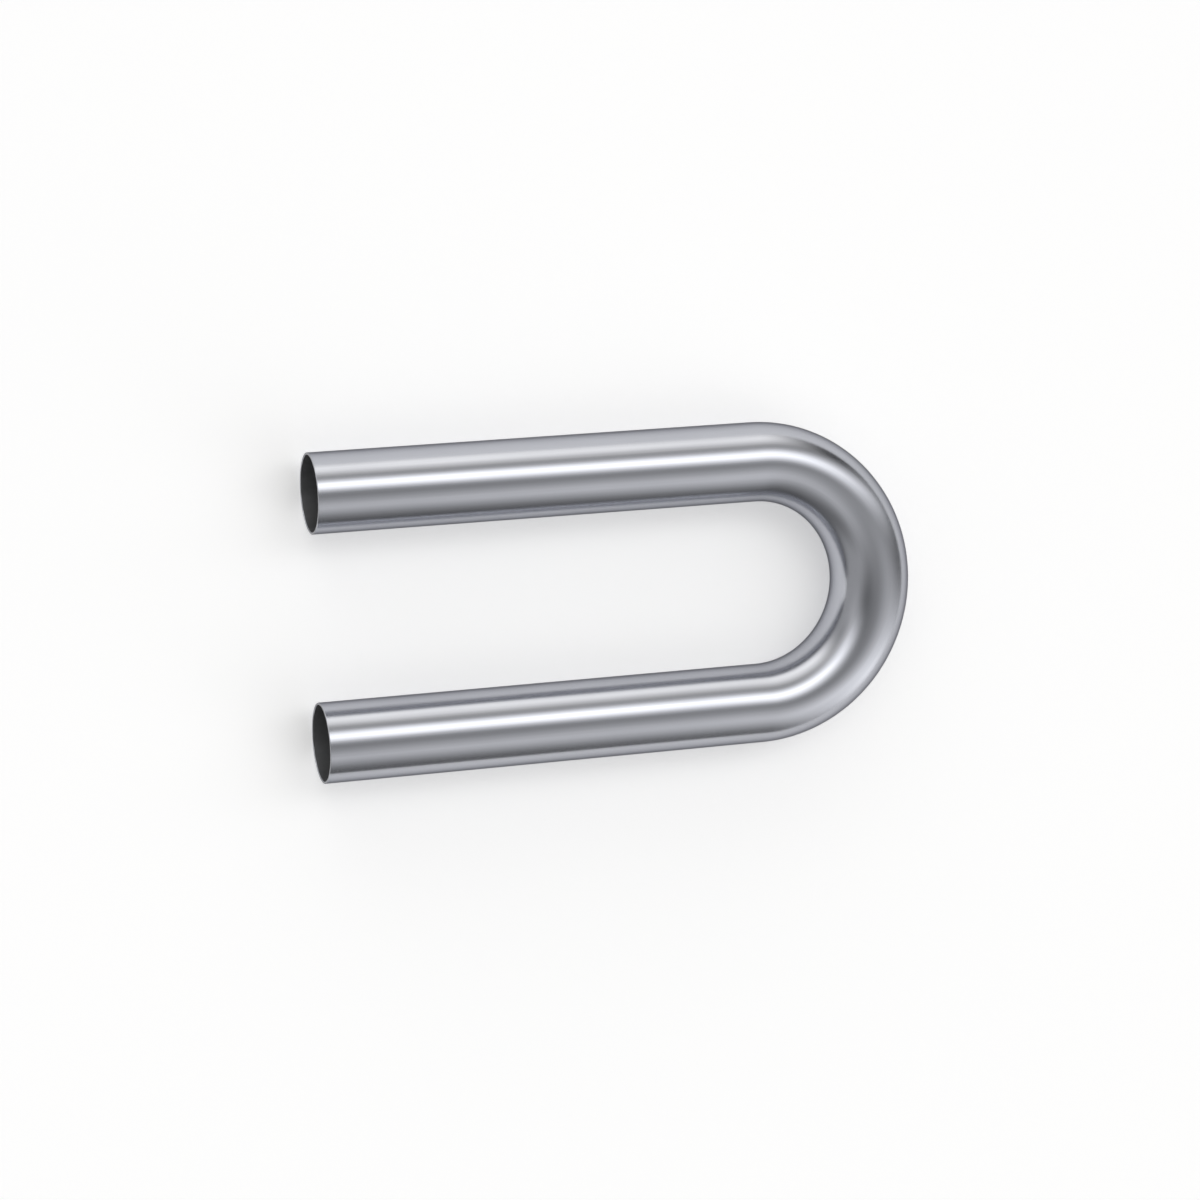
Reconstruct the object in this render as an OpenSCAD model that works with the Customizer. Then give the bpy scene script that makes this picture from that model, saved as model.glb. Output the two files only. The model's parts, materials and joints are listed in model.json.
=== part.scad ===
// Return bend: one length of round, thin-walled steel tube, bent through a half
// turn on a mandrel so that its two straight legs run side by side. The ends are
// cut square and their edges are broken with a small chamfer, ready to be slipped
// into a sleeve or butt-welded.
//
// The bend lies flat, as it comes to rest on a bench. +X points from the open ends
// to the bend, +Y across the legs and +Z up. The origin is on the bench, under the
// middle of the part.

/* [Tube] */
// Outside diameter of the tube
tube_od = 65; // [40:0.5:90]
// Thickness of the tube's wall
wall = 2; // [1:0.1:5]

/* [Bend] */
// Radius of the bend, to the middle of the tube
bend_radius = 100; // [60:1:250]
// Straight run of each leg, from its cut end to the start of the bend
leg_length = 370; // [50:5:600]

/* [Cut ends] */
// Chamfer that breaks the inner and outer edge of each cut end
edge_break = 0.4; // [0.1:0.05:0.45]

/* [Hidden] */

$fn = 128;

outer_r = tube_od / 2;
bore_r = outer_r - wall;
return_angle = 180;
// How far a cut runs on past the face that it opens
overcut = 1;
// Where the bend's own centre lies, so that the part is centred on the origin
bend_centre = [(leg_length - bend_radius - outer_r) / 2, 0, outer_r];
steel = [0.70, 0.71, 0.73];

// The bend itself: a round section of this radius, turned about the bend's centre.
module bend_run(section_r) {
    rotate([0, 0, -return_angle / 2])
        rotate_extrude(angle = return_angle)
            translate([bend_radius, 0])
                circle(r = section_r);
}

// Puts a leg's shape, drawn up +Z from the start of the bend, on each of the legs.
module each_leg() {
    for (side = [-1, 1])
        translate([0, side * bend_radius, 0])
            rotate([0, -90, 0])
                children();
}

// Outside of a leg: a plain cylinder with a chamfer round its cut end.
module leg_outside() {
    cylinder(r = outer_r, h = leg_length - edge_break);
    translate([0, 0, leg_length - edge_break])
        cylinder(r1 = outer_r, r2 = outer_r - edge_break, h = edge_break);
}

// Inside of a leg: the bore, and the chamfer that opens it at the cut end.
module leg_bore() {
    cylinder(r = bore_r, h = leg_length + overcut);
    translate([0, 0, leg_length - edge_break])
        cylinder(r1 = bore_r, r2 = bore_r + edge_break + overcut, h = edge_break + overcut);
}

// The whole tube, as one solid wall around one continuous passage.
module bent_tube() {
    color(steel)
        translate(bend_centre)
            difference() {
                union() {
                    bend_run(outer_r);
                    each_leg() leg_outside();
                }
                union() {
                    bend_run(bore_r);
                    each_leg() leg_bore();
                }
            }
}

bent_tube();
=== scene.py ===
# %% [markdown]
# # A bent steel tube on a white table
#
# The part is a return bend: one length of thin-walled steel tube, turned through half a circle so that
# its two legs run side by side. It is a single piece, so the whole lesson is about doing one form well:
# a clean wall with true edges, a finish that follows the bend, and light that shows a bright metal.
#
# The engineering model is loaded first. It fixes every size, and the mesh made here takes its place.

# %% Load the engineering model
import json
from math import cos, degrees, pi, radians, sin

import bmesh
import bpy
from mathutils import Euler, Matrix, Vector


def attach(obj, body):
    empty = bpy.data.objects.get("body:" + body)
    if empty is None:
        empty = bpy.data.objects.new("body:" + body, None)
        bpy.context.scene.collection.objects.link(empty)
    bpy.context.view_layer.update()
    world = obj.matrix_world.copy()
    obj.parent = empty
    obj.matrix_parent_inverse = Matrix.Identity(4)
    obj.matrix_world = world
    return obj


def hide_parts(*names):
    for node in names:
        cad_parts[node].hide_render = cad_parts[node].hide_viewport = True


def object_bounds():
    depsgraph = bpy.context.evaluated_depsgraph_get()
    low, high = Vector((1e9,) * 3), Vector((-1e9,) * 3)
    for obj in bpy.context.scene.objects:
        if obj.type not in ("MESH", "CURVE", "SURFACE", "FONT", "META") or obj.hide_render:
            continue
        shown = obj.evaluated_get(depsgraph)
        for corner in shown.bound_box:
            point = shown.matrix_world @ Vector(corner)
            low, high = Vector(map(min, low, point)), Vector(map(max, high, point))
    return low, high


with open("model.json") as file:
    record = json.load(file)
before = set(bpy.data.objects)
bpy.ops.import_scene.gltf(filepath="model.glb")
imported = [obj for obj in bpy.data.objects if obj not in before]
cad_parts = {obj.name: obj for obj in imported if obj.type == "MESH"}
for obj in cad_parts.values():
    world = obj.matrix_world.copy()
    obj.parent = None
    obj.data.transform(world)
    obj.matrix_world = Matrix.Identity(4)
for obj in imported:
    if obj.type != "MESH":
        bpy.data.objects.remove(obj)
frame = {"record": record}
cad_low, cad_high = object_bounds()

MM = 0.001
print("engineering box in mm:", [round(side / MM, 2) for side in cad_high - cad_low])

# %% [markdown]
# ## Sizes
#
# Sizes that are typed in twice drift apart, so all of them are read from the engineering model. The
# mounts in its record give the tube's outer and inner radius and how far the legs stand from the middle,
# and its box gives the rest. A leg's pin is shorter than the leg by the chamfer at its cut end, so even
# that small chamfer can be worked out.

# %% Read the sizes from the frame
mounts = {mount["name"]: mount for mount in frame["record"]["mounts"]}
outside_mount = mounts["left_leg_outside"]
bore_mount = mounts["left_leg_bore"]

outer_r = outside_mount["dims"]["r_mm"] * MM
bore_r = bore_mount["dims"]["r_mm"] * MM
bend_radius = outside_mount["pos_m"][1]
axis_height = outside_mount["pos_m"][2]

bend_start_x = cad_high.x - bend_radius - outer_r
leg_length = bend_start_x - cad_low.x
edge_break = leg_length - outside_mount["dims"]["length_mm"] * MM
bend_length = pi * bend_radius
tube_length = 2 * leg_length + bend_length

print("tube", round(2 * outer_r / MM, 2), "x", round((outer_r - bore_r) / MM, 2), "mm,",
      "bent on", round(bend_radius / MM, 2), "mm, cut from", round(tube_length / MM, 1), "mm,",
      "edges broken by", round(edge_break / MM, 2), "mm")

# %% [markdown]
# ## The straight tube
#
# A bender starts with a straight tube, and so does this mesh. One ring of edges draws the whole wall: it
# is extruded along X for the outside, scaled in for the sawn end, extruded back for the bore, and scaled
# out again, where it meets its own start. Merging the two closes the wall.
#
# A spin would make the bend in one call, but the straight tube has an advantage: each point can
# remember where it lay before bending. The finish will use that, so its fine lines follow the tube.

# %% Draw the wall with one ring
RING_SIDES = 160

tube = bmesh.new()
facing_x = Matrix.Rotation(pi / 2, 4, "Y")
bmesh.ops.create_circle(tube, segments=RING_SIDES, radius=outer_r, matrix=facing_x)


def extrude_ring(ring, along=0, scale=1):
    """Extrudes a ring of edges, moves and scales the new ring, and returns it."""
    grown = bmesh.ops.extrude_edge_only(tube, edges=ring)["geom"]
    points = [item for item in grown if isinstance(item, bmesh.types.BMVert)]
    bmesh.ops.translate(tube, verts=points, vec=(along, 0, 0))
    bmesh.ops.scale(tube, verts=points, vec=(1, scale, scale))
    edges = [item for item in grown if isinstance(item, bmesh.types.BMEdge)]
    return [edge for edge in edges if all(point in points for point in edge.verts)]


ring = list(tube.edges)
stretches = (leg_length, bend_length, leg_length)
for length in stretches:
    ring = extrude_ring(ring, along=length)
ring = extrude_ring(ring, scale=bore_r / outer_r)
for length in stretches:
    ring = extrude_ring(ring, along=-length)
extrude_ring(ring, scale=outer_r / bore_r)

MERGE_DISTANCE = edge_break / 10
bmesh.ops.remove_doubles(tube, verts=tube.verts, dist=MERGE_DISTANCE)
bmesh.ops.recalc_face_normals(tube, faces=tube.faces)
print("closed wall of", round(tube.calc_volume() / MM**3), "cubic mm, with", len(tube.faces), "faces")

# %% [markdown]
# ## Cut ends
#
# The tube is sawn square and the burr is taken off. More rings could draw the broken edges, but a bevel
# needs only the edges and one size. The rims are the only edges where the wall turns sharply, so their
# angle finds them.

# %% Break the edges of the cut ends
RIM_ANGLE = radians(45)
BREAK_SEGMENTS = 2
rims = [edge for edge in tube.edges if edge.calc_face_angle() > RIM_ANGLE]
bmesh.ops.bevel(tube, geom=rims, offset=edge_break, affect="EDGES", segments=BREAK_SEGMENTS,
                profile=0.5, material=-1)
print("broke", len(rims), "edges")

# %% [markdown]
# ## Cuts for the bend
#
# Every cut across the tube becomes one ring on the bent one. Cutting the whole tube finely would waste
# faces on the straight legs, so the middle stretch gets many cuts and each leg a few. The long edges of a
# stretch are those that cross its middle.

# %% Cut the long edges
BEND_CUTS = 119
LEG_CUTS = 5
stretch_start = 0
for length, cuts in zip(stretches, (LEG_CUTS, BEND_CUTS, LEG_CUTS)):
    middle = stretch_start + length / 2
    long_edges = []
    for edge in tube.edges:
        first_x, last_x = sorted(point.co.x for point in edge.verts)
        if first_x < middle < last_x:
            long_edges.append(edge)
    bmesh.ops.subdivide_edges(tube, edges=long_edges, cuts=cuts, use_grid_fill=True)
    stretch_start += length
print("cut into", len(tube.faces), "faces")

# %% [markdown]
# ## Three finishes on one tube
#
# The outside is bright, the bore keeps the dull skin of the mill, and the saw has left its marks on the
# ends. Three meshes would leave seams, and one material with a mask would blur at the rims, so each face
# of the one mesh is marked with its finish.
#
# While the tube is still straight the faces are easy to tell apart: one that looks along X belongs to a
# sawn end, and one that looks straight at the axis belongs to the bore. All the others are bright, the
# broken edges too, because the tool that took the burr off has scraped them clean.

# %% Mark which finish each face takes
BRIGHT, DULL, SAWN = range(3)
LINED_UP = cos(radians(10))
SHARP_ANGLE = radians(20)
for face in tube.faces:
    middle = face.calc_center_median()
    from_axis = Vector((0, middle.y, middle.z)).normalized()
    if abs(face.normal.x) > LINED_UP:
        face.material_index = SAWN
    elif face.normal.dot(from_axis) < -LINED_UP:
        face.material_index = DULL
    else:
        face.material_index = BRIGHT
    face.smooth = True
for edge in tube.edges:
    edge.smooth = edge.calc_face_angle() < SHARP_ANGLE
for index, finish in enumerate(("bright", "dull", "sawn")):
    print(finish, "faces:", sum(face.material_index == index for face in tube.faces))

# %% [markdown]
# ## Bending
#
# Every point first writes down its straight place in an attribute. Then each ring is carried to its
# place on the path: along the left leg, round the bend, and back along the right leg. A Simple Deform
# modifier could bend a tube too, but one matrix for each ring is exact, so the bent tube has the
# engineering model's size. The matrix depends only on how far along the tube the ring lies.

# %% Remember the straight shape, then bend
STRAIGHT = "straight"
straight_place = tube.verts.layers.float_vector.new(STRAIGHT)
for point in tube.verts:
    point[straight_place] = point.co


def place_on_path(along):
    """The matrix that carries the ring at this length along the straight tube to the bent one."""
    turned = min(max((along - leg_length) / bend_radius, 0), pi)
    past_bend = along - leg_length - turned * bend_radius
    bend_centre = Vector((bend_start_x, 0, axis_height))
    turn = Matrix.Translation(bend_centre) @ Matrix.Rotation(-turned, 4, "Z")
    return turn @ Matrix.Translation((past_bend - along, bend_radius, 0))


RING_STEP = 0.1 * MM
rings = {}
for point in tube.verts:
    rings.setdefault(round(point.co.x / RING_STEP), []).append(point)
for ring in rings.values():
    bmesh.ops.transform(tube, matrix=place_on_path(ring[0].co.x), verts=ring)

mesh = bpy.data.meshes.new("bent_tube_mesh")
tube.to_mesh(mesh)
tube.free()
bent_tube = bpy.data.objects.new("bright_bent_tube", mesh)
bpy.context.scene.collection.objects.link(bent_tube)
print("bent", len(rings), "rings,", len(mesh.polygons), "faces")

# %% [markdown]
# ## Writing shader maths
#
# A finish is a small tree of nodes. Adding each node by hand takes many lines, so this class wraps a
# socket: sums and products of wires add the Math nodes, and one method adds any other. Three helpers
# start a finish, end it and mix its colours.

# %% A wire between shader nodes
class Wire:
    """A socket of a node tree. Sums and products of wires become Math nodes."""

    def __init__(self, tree, socket=None):
        self.tree = tree
        self.socket = socket

    def add(self, kind, settings=None, sockets=None, output=0):
        """Adds a node: its settings are set first, then its sockets get values or links."""
        node = self.tree.nodes.new("ShaderNode" + kind)
        for name, value in (settings or {}).items():
            setattr(node, name, value)
        for name, value in (sockets or {}).items():
            if isinstance(value, Wire):
                self.tree.links.new(value.socket, node.inputs[name])
            else:
                node.inputs[name].default_value = value
        return Wire(self.tree, node.outputs[output] if node.outputs else None)

    def math(self, operation, first, second):
        """Adds a Math node for two numbers or wires."""
        return self.add("Math", {"operation": operation}, {0: first, 1: second})

    def __add__(self, other):
        return self.math("ADD", self, other)

    def __radd__(self, other):
        return self.math("ADD", other, self)

    def __mul__(self, other):
        return self.math("MULTIPLY", self, other)

    def __rmul__(self, other):
        return self.math("MULTIPLY", other, self)


print("a wire adds nodes to a tree")

# %% Start, mix and end a finish
def new_finish(name):
    """An empty material, with a wire to start its nodes from."""
    material = bpy.data.materials.new(name)
    material.use_nodes = True
    material.node_tree.nodes.clear()
    return material, Wire(material.node_tree)


def end_finish(start, surface):
    """Connects a shader to the material's output."""
    start.add("OutputMaterial", sockets={"Surface": surface})


# A Mix node gives its number, vector and colour sockets the same names, so the colour ones go by number.
MIX_SHARE, MIX_FIRST, MIX_SECOND, MIX_RESULT = 0, 6, 7, 2


def mix_colours(start, share, first, second):
    """A colour between two, by a share from 0 to 1."""
    colours = {MIX_SHARE: share, MIX_FIRST: (*first, 1), MIX_SECOND: (*second, 1)}
    return start.add("Mix", {"data_type": "RGBA"}, colours, output=MIX_RESULT)


print("finishes can be mixed")

# %% [markdown]
# ## Bright steel
#
# The tube was drawn through a die, and the die leaves very fine lines along it. An anisotropic shader
# could blur the reflections as such lines do, but it would show no line from close by, so they are noise
# that is stretched along the straight tube: the attribute carries it round the bend. The lines change
# colour, roughness and bump by so little that they show only from close by, as on the real tube. A
# broad, weak noise stands for handling.
#
# Specular Tint is the metal's colour at a glancing angle. It is set darker than steel's own, as painted
# shade: the thin dark outline stands in for a dim studio reflected at the tube's edges.

# %% Noise along the tube
def place_on_straight_tube(start):
    """Where each point of the surface lay before bending."""
    return start.add("Attribute", {"attribute_name": STRAIGHT}, output="Vector")


def stretched_noise(start, place, lengths, detail):
    """Noise whose features have these lengths along X, Y and Z, in metres."""
    squeeze = [1 / length for length in lengths]
    squeezed = start.add("VectorMath", {"operation": "MULTIPLY"}, {0: place, 1: squeeze})
    return start.add("TexNoise", sockets={"Vector": squeezed, "Scale": 1, "Detail": detail})


DIE_LINE = (220 * MM, 0.9 * MM, 0.9 * MM)
HANDLED_PATCH = (90 * MM, 35 * MM, 35 * MM)
print("die lines are", round(DIE_LINE[1] / MM, 1), "mm wide and", round(DIE_LINE[0] / MM), "mm long")

# %% Bright steel finish
bright, start = new_finish("bright_drawn_steel")
straight = place_on_straight_tube(start)
die_lines = stretched_noise(start, straight, DIE_LINE, detail=2)
handling = stretched_noise(start, straight, HANDLED_PATCH, detail=2)

STEEL_LIGHT = (0.55, 0.56, 0.60)
STEEL_DARK = (0.45, 0.46, 0.50)
# painted shade: a glancing colour darker than steel's, standing in for the reflection of a dim studio
STEEL_EDGE_PAINTED_SHADE = (0.25, 0.25, 0.26)
STEEL_ROUGHNESS = 0.145
LINE_ROUGHNESS = 0.08
HANDLED_ROUGHNESS = 0.03
LINE_DEPTH = 0.1 * MM
steel = start.add("BsdfPrincipled", sockets={
    "Base Color": mix_colours(start, 0.5 * die_lines + 0.5 * handling, STEEL_LIGHT, STEEL_DARK),
    "Metallic": 1,
    "Roughness": STEEL_ROUGHNESS + LINE_ROUGHNESS * die_lines + HANDLED_ROUGHNESS * handling,
    "Specular Tint": (*STEEL_EDGE_PAINTED_SHADE, 1),
    "Normal": start.add("Bump", sockets={"Strength": 0.15, "Distance": LINE_DEPTH, "Height": die_lines}),
})
end_finish(start, steel)
print("bright steel:", len(bright.node_tree.nodes), "nodes")

# %% [markdown]
# ## Dull bore
#
# Nobody polishes the inside. It keeps the grey oxide of the mill, darker and rougher than the outside,
# with cloudy patches. One dark grey would look like a painted lid, so it is made as the bright steel is,
# with coarser noise and darker colours.

# %% Dull bore finish
dull, start = new_finish("dull_mill_bore")
OXIDE_CLOUD = (22 * MM, 9 * MM, 9 * MM)
SCRATCH = (60 * MM, 1.2 * MM, 1.2 * MM)
straight = place_on_straight_tube(start)
clouds = stretched_noise(start, straight, OXIDE_CLOUD, detail=4)
scratches = stretched_noise(start, straight, SCRATCH, detail=2)

OXIDE_LIGHT = (0.26, 0.263, 0.272)
OXIDE_DARK = (0.15, 0.152, 0.158)
OXIDE_ROUGHNESS = 0.34
CLOUD_ROUGHNESS = 0.16
SCRATCH_DEPTH = 0.1 * MM
oxide = start.add("BsdfPrincipled", sockets={
    "Base Color": mix_colours(start, clouds, OXIDE_LIGHT, OXIDE_DARK),
    "Metallic": 0.7,
    "Roughness": OXIDE_ROUGHNESS + CLOUD_ROUGHNESS * clouds,
    "Normal": start.add("Bump", sockets={"Strength": 0.2, "Distance": SCRATCH_DEPTH, "Height": scratches}),
})
end_finish(start, oxide)
print("dull bore:", len(dull.node_tree.nodes), "nodes")

# %% [markdown]
# ## Sawn ends
#
# The saw runs straight across the tube, so its marks are parallel lines on the end face. Grooves in the
# Grooves in the mesh would be finer than any face, so the marks are noise on Object coordinates, long
# across the tube and short in height. They scatter light, which greys the ends. Their colour is also set
# darker than the steel's, as painted shade for the dim surroundings that the ends would reflect.

# %% Sawn end finish
sawn, start = new_finish("sawn_steel_end")
SAW_MARK = (50 * MM, 25 * MM, 0.4 * MM)
place = start.add("TexCoord", output="Object")
saw_marks = stretched_noise(start, place, SAW_MARK, detail=2)

# painted shade: both end colours are darker than the steel, standing in for dim surroundings reflected in
# the ends; the saw marks between them are real
END_LIGHT_PAINTED_SHADE = (0.31, 0.315, 0.33)
END_DARK_PAINTED_SHADE = (0.2, 0.205, 0.22)
END_ROUGHNESS = 0.3
MARK_ROUGHNESS = 0.12
SAW_DEPTH = 0.05 * MM
sawn_metal = start.add("BsdfPrincipled", sockets={
    "Base Color": mix_colours(start, saw_marks, END_LIGHT_PAINTED_SHADE, END_DARK_PAINTED_SHADE),
    "Metallic": 1,
    "Roughness": END_ROUGHNESS + MARK_ROUGHNESS * saw_marks,
    "Normal": start.add("Bump", sockets={"Strength": 0.3, "Distance": SAW_DEPTH, "Height": saw_marks}),
})
end_finish(start, sawn_metal)
print("sawn ends:", len(sawn.node_tree.nodes), "nodes")

# %% [markdown]
# ## Dressing the tube
#
# The finishes fill the mesh's slots in the order in which the faces were marked. The tube rides on the
# model's only body and hides the plain solid that it stands for.

# %% Dress the tube
for finish in (bright, dull, sawn):
    mesh.materials.append(finish)
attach(bent_tube, "root")
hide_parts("bent_tube")
print("dressed", bent_tube.name)

# %% [markdown]
# ## Table
#
# The tube lies on a wide, pale table. Its diffuse colour takes the soft shadow. More lamps could make it
# white, but they would wash out the steel too, so the table has a little light of its own, for camera and
# mirror rays alone.

# %% Pale table
BLACK = Vector((0, 0, 0))
WHITE = Vector((1, 1, 1))
TABLE_RADIUS = 60
TABLE_SIDES = 96
TABLE_COLOUR = 0.88 * WHITE
TABLE_LIFT = 0.33

sheet = bmesh.new()
bmesh.ops.create_circle(sheet, cap_ends=True, segments=TABLE_SIDES, radius=TABLE_RADIUS)
table_mesh = bpy.data.meshes.new("table_mesh")
sheet.to_mesh(table_mesh)
sheet.free()
table = bpy.data.objects.new("pale_table", table_mesh)
bpy.context.scene.collection.objects.link(table)

pale, start = new_finish("pale_table_top")
camera_ray = start.add("LightPath", output="Is Camera Ray")
glossy_ray = start.add("LightPath", output="Is Glossy Ray")
clear_ray = start.add("LightPath", output="Is Transmission Ray")
lift = start.math("MINIMUM", camera_ray + glossy_ray + clear_ray, 1)
top = start.add("BsdfPrincipled", sockets={
    "Base Color": (*TABLE_COLOUR, 1),
    "Roughness": 0.9,
    "Specular IOR Level": 0,
    "Emission Color": mix_colours(start, lift, BLACK, WHITE),
    "Emission Strength": TABLE_LIFT,
})
end_finish(start, top)
table_mesh.materials.append(pale)
print("table of", TABLE_RADIUS, "m radius")

# %% [markdown]
# ## Studio light
#
# Metal shows little but what stands around it, so the light is drawn as the studio that the tube would
# reflect: a dim dome with a handful of soft boxes. Lamps could stand there instead, but a box in the
# world can have edges as soft as a cloth-covered lamp, and it lights the whole table evenly.
#
# Each box is drawn on a dome of radius 1, so its half width, half height and soft edges are shares of
# that radius. Two soft bands that cross make a box.

# %% A dome to draw on
world = bpy.data.worlds.new("studio")
bpy.context.scene.world = world
world.use_nodes = True
world.node_tree.nodes.clear()
dome = Wire(world.node_tree)
looking = dome.add("TexCoord", output="Generated")


def heading(azimuth, elevation):
    """The direction at this azimuth from +X towards +Y, and this elevation, in degrees."""
    around, up = radians(azimuth), radians(elevation)
    return Vector((cos(around) * cos(up), sin(around) * cos(up), sin(up)))


def distance_along(direction):
    """How far along a direction the dome is, where a ray meets it."""
    return dome.add("VectorMath", {"operation": "DOT_PRODUCT"}, {0: looking, 1: direction}, output="Value")


print("dome of the world", world.name)

# %% One soft box
def soft_band(across, half, edge):
    """1 in a band across this direction, falling softly to 0 around half its width."""
    off_middle = dome.add("Math", {"operation": "ABSOLUTE"}, {0: distance_along(across)})
    return dome.add("MapRange", {"interpolation_type": "SMOOTHSTEP"}, {
        "Value": off_middle,
        "From Min": half - edge,
        "From Max": half + edge,
        "To Min": 1,
        "To Max": 0,
    })


def soft_box(azimuth, elevation, turn, half_size, soft_edge, colour):
    """The light of one box at this place on the dome, leaning by its turn, with angles in degrees."""
    middle = heading(azimuth, elevation)
    tilt = Matrix.Rotation(radians(turn), 3, middle)
    sideways = tilt @ heading(azimuth + 90, 0)
    upwards = middle.cross(sideways)
    on_its_side = dome.math("GREATER_THAN", distance_along(middle), 0)
    width = soft_band(sideways, half_size[0], soft_edge[0])
    height = soft_band(upwards, half_size[1], soft_edge[1])
    strength = width * height * on_its_side
    return dome.add("VectorMath", {"operation": "SCALE"}, {0: colour, "Scale": strength})


print("a soft box has two soft bands")

# %% Place the soft boxes
ROOM_GLOW = 0.025 * WHITE
WARM_WHITE = Vector((1.02, 1.01, 0.98))
# Each box has its azimuth, elevation and turn, then its half size, its soft edges and its light.
soft_boxes = {
    "key": soft_box(85, 63, 5, (0.50, 0.15), (0.50, 0.25), 2.7 * WHITE),
    "window": soft_box(90, 16, 10, (0.55, 0.30), (0.25, 0.35), 1.6 * WARM_WHITE),
    "fill": soft_box(-35, 7, 0, (0.25, 0.55), (0.40, 0.50), 1.6 * WHITE),
    "ceiling": soft_box(-70, 52, -15, (0.55, 0.30), (0.35, 0.75), 0.85 * WHITE),
    "side": soft_box(25, 40, -20, (0.15, 0.55), (0.25, 0.30), 1.1 * WHITE),
    "wall": soft_box(170, 16, 30, (0.80, 0.45), (0.20, 0.25), 0.45 * WHITE),
}
total = ROOM_GLOW
for light in soft_boxes.values():
    total = dome.add("VectorMath", {"operation": "ADD"}, {0: total, 1: light})
background = dome.add("Background", sockets={"Color": total})
dome.add("OutputWorld", sockets={"Surface": background})
print("soft boxes:", ", ".join(soft_boxes))

# %% [markdown]
# ## Camera
#
# A camera with no rotation looks straight down with +Y at the top of the picture. Three tilts lean it
# over until it sees the tube as the photograph does: from above, a little into the open ends. A constraint
# could aim it, but it would hide how the picture is turned. A long lens from three metres keeps the legs
# nearly parallel.

# %% Camera at the photograph's angle
CAMERA_TILT = Euler((radians(-7.8), radians(-17.4), radians(-2.2)))
CAMERA_DISTANCE = 2.92
FOCAL_LENGTH = 108.1
SENSOR_WIDTH = 36
AIM_OFFSET = Vector((-15.1 * MM, -3.5 * MM, 0))
UP = Vector((0, 0, 1))

aim = (cad_low + cad_high) / 2 + AIM_OFFSET
backwards = CAMERA_TILT.to_matrix() @ UP
lens = bpy.data.cameras.new("lens")
lens.lens = FOCAL_LENGTH
lens.sensor_width = SENSOR_WIDTH
camera = bpy.data.objects.new("camera", lens)
camera.location = aim + backwards * CAMERA_DISTANCE
camera.rotation_euler = CAMERA_TILT
bpy.context.scene.collection.objects.link(camera)
bpy.context.scene.camera = camera
print("camera looks down at", round(degrees(UP.angle(backwards)), 1), "degrees from plumb")

# %% [markdown]
# ## Colour view
#
# The Standard view shows colours as they are written.

# %% Show colours as written
bpy.context.scene.view_settings.view_transform = "Standard"
